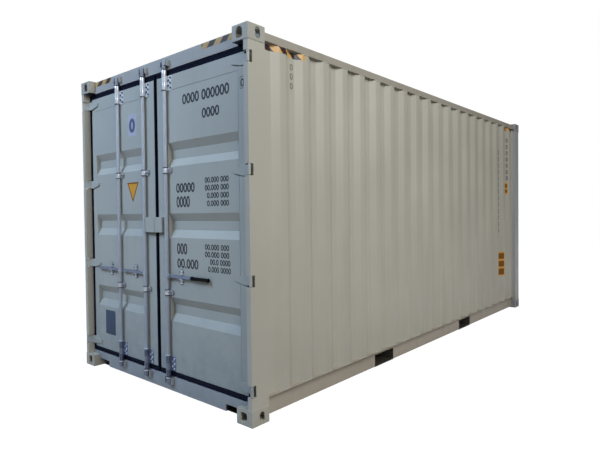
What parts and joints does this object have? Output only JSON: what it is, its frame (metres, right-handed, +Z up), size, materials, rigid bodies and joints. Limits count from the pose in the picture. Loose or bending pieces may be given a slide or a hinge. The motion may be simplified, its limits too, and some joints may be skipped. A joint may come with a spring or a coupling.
{
  "type": "shipping container",
  "caption": "High-cube steel shipping container with corrugated walls, two swinging end doors, lock rods, corner castings and fork pockets.",
  "frame": {"origin": "bottom centre of the container, on the plane the bottom castings stand on", "axes": "+X along the length, away from the doors; +Y to the left-hand side seen from the door end looking in; +Z up"},
  "size_m": [6.058, 2.438, 2.896],
  "materials": {
    "painted": "satin",
    "galvanised": "satin",
    "rubber": "matte",
    "grip": "matte",
    "plywood": "satin"
  },
  "bodies": {
    "container": {"door_castings_bottom": "painted", "front_castings_bottom": "painted", "door_castings_top": "painted", "front_castings_top": "painted", "right_door_post": "painted", "left_door_post": "painted", "hinge_pins": "galvanised", "front_posts": "painted", "top_side_rails": "painted", "bottom_rails": "painted", "door_header": "painted", "door_sill": "painted", "front_header": "painted", "front_sill": "painted", "right_side_wall": "painted", "left_side_wall": "painted", "front_wall": "painted", "roof": "painted", "floor": "plywood", "cross_members": "painted", "rail_webs": "painted", "fork_pocket_sides": "painted", "fork_pocket_plates": "painted", "cam_keepers": "painted"},
    "right_door": {"right_door_frame": "painted", "right_door_panel": "painted", "right_door_gasket": "rubber", "right_door_hinges": "painted", "right_rod_brackets": "galvanised", "right_handle_retainer": "galvanised", "right_lock_box": "painted"},
    "left_door": {"left_door_frame": "painted", "left_door_panel": "painted", "left_door_gasket": "rubber", "left_door_hinges": "painted", "left_rod_brackets": "galvanised", "left_handle_retainers": "galvanised", "left_lock_box": "painted"},
    "right_rod": {"right_lock_rod": "galvanised"},
    "left_inner_rod": {"left_inner_lock_rod": "galvanised"},
    "left_outer_rod": {"left_outer_lock_rod": "galvanised"},
    "right_handle": {"right_handle": "galvanised", "right_handle_grip": "grip"},
    "left_inner_handle": {"left_inner_handle": "galvanised"},
    "left_outer_handle": {"left_outer_handle": "galvanised"}
  },
  "joints": [
    {"name": "right_door_swing", "type": "hinge", "parent": "container", "child": "right_door", "pos_m": [-3.016, -1.206, 1.457], "axis": [0, 0, -1], "range_deg": [-270, 0]},
    {"name": "left_door_swing", "type": "hinge", "parent": "container", "child": "left_door", "pos_m": [-3.016, 1.206, 1.457], "axis": [0, 0, 1], "range_deg": [-270, 0]},
    {"name": "right_rod_turn", "type": "hinge", "parent": "right_door", "child": "right_rod", "pos_m": [-2.9895, -0.165, 1.45], "axis": [0, 0, -1], "range_deg": [0, 100]},
    {"name": "right_handle_lift", "type": "hinge", "parent": "right_rod", "child": "right_handle", "pos_m": [-2.9895, -0.203, 1.016], "axis": [-1, 0, 0], "range_deg": [0, 15]},
    {"name": "left_inner_rod_turn", "type": "hinge", "parent": "left_door", "child": "left_inner_rod", "pos_m": [-2.9895, 0.165, 1.45], "axis": [0, 0, 1], "range_deg": [0, 100]},
    {"name": "left_inner_handle_lift", "type": "hinge", "parent": "left_inner_rod", "child": "left_inner_handle", "pos_m": [-2.9895, 0.203, 1.016], "axis": [1, 0, 0], "range_deg": [0, 15]},
    {"name": "left_outer_rod_turn", "type": "hinge", "parent": "left_door", "child": "left_outer_rod", "pos_m": [-2.9895, 0.595, 1.45], "axis": [0, 0, 1], "range_deg": [0, 100]},
    {"name": "left_outer_handle_lift", "type": "hinge", "parent": "left_outer_rod", "child": "left_outer_handle", "pos_m": [-2.9895, 0.633, 1.016], "axis": [1, 0, 0], "range_deg": [0, 15]}
  ]
}
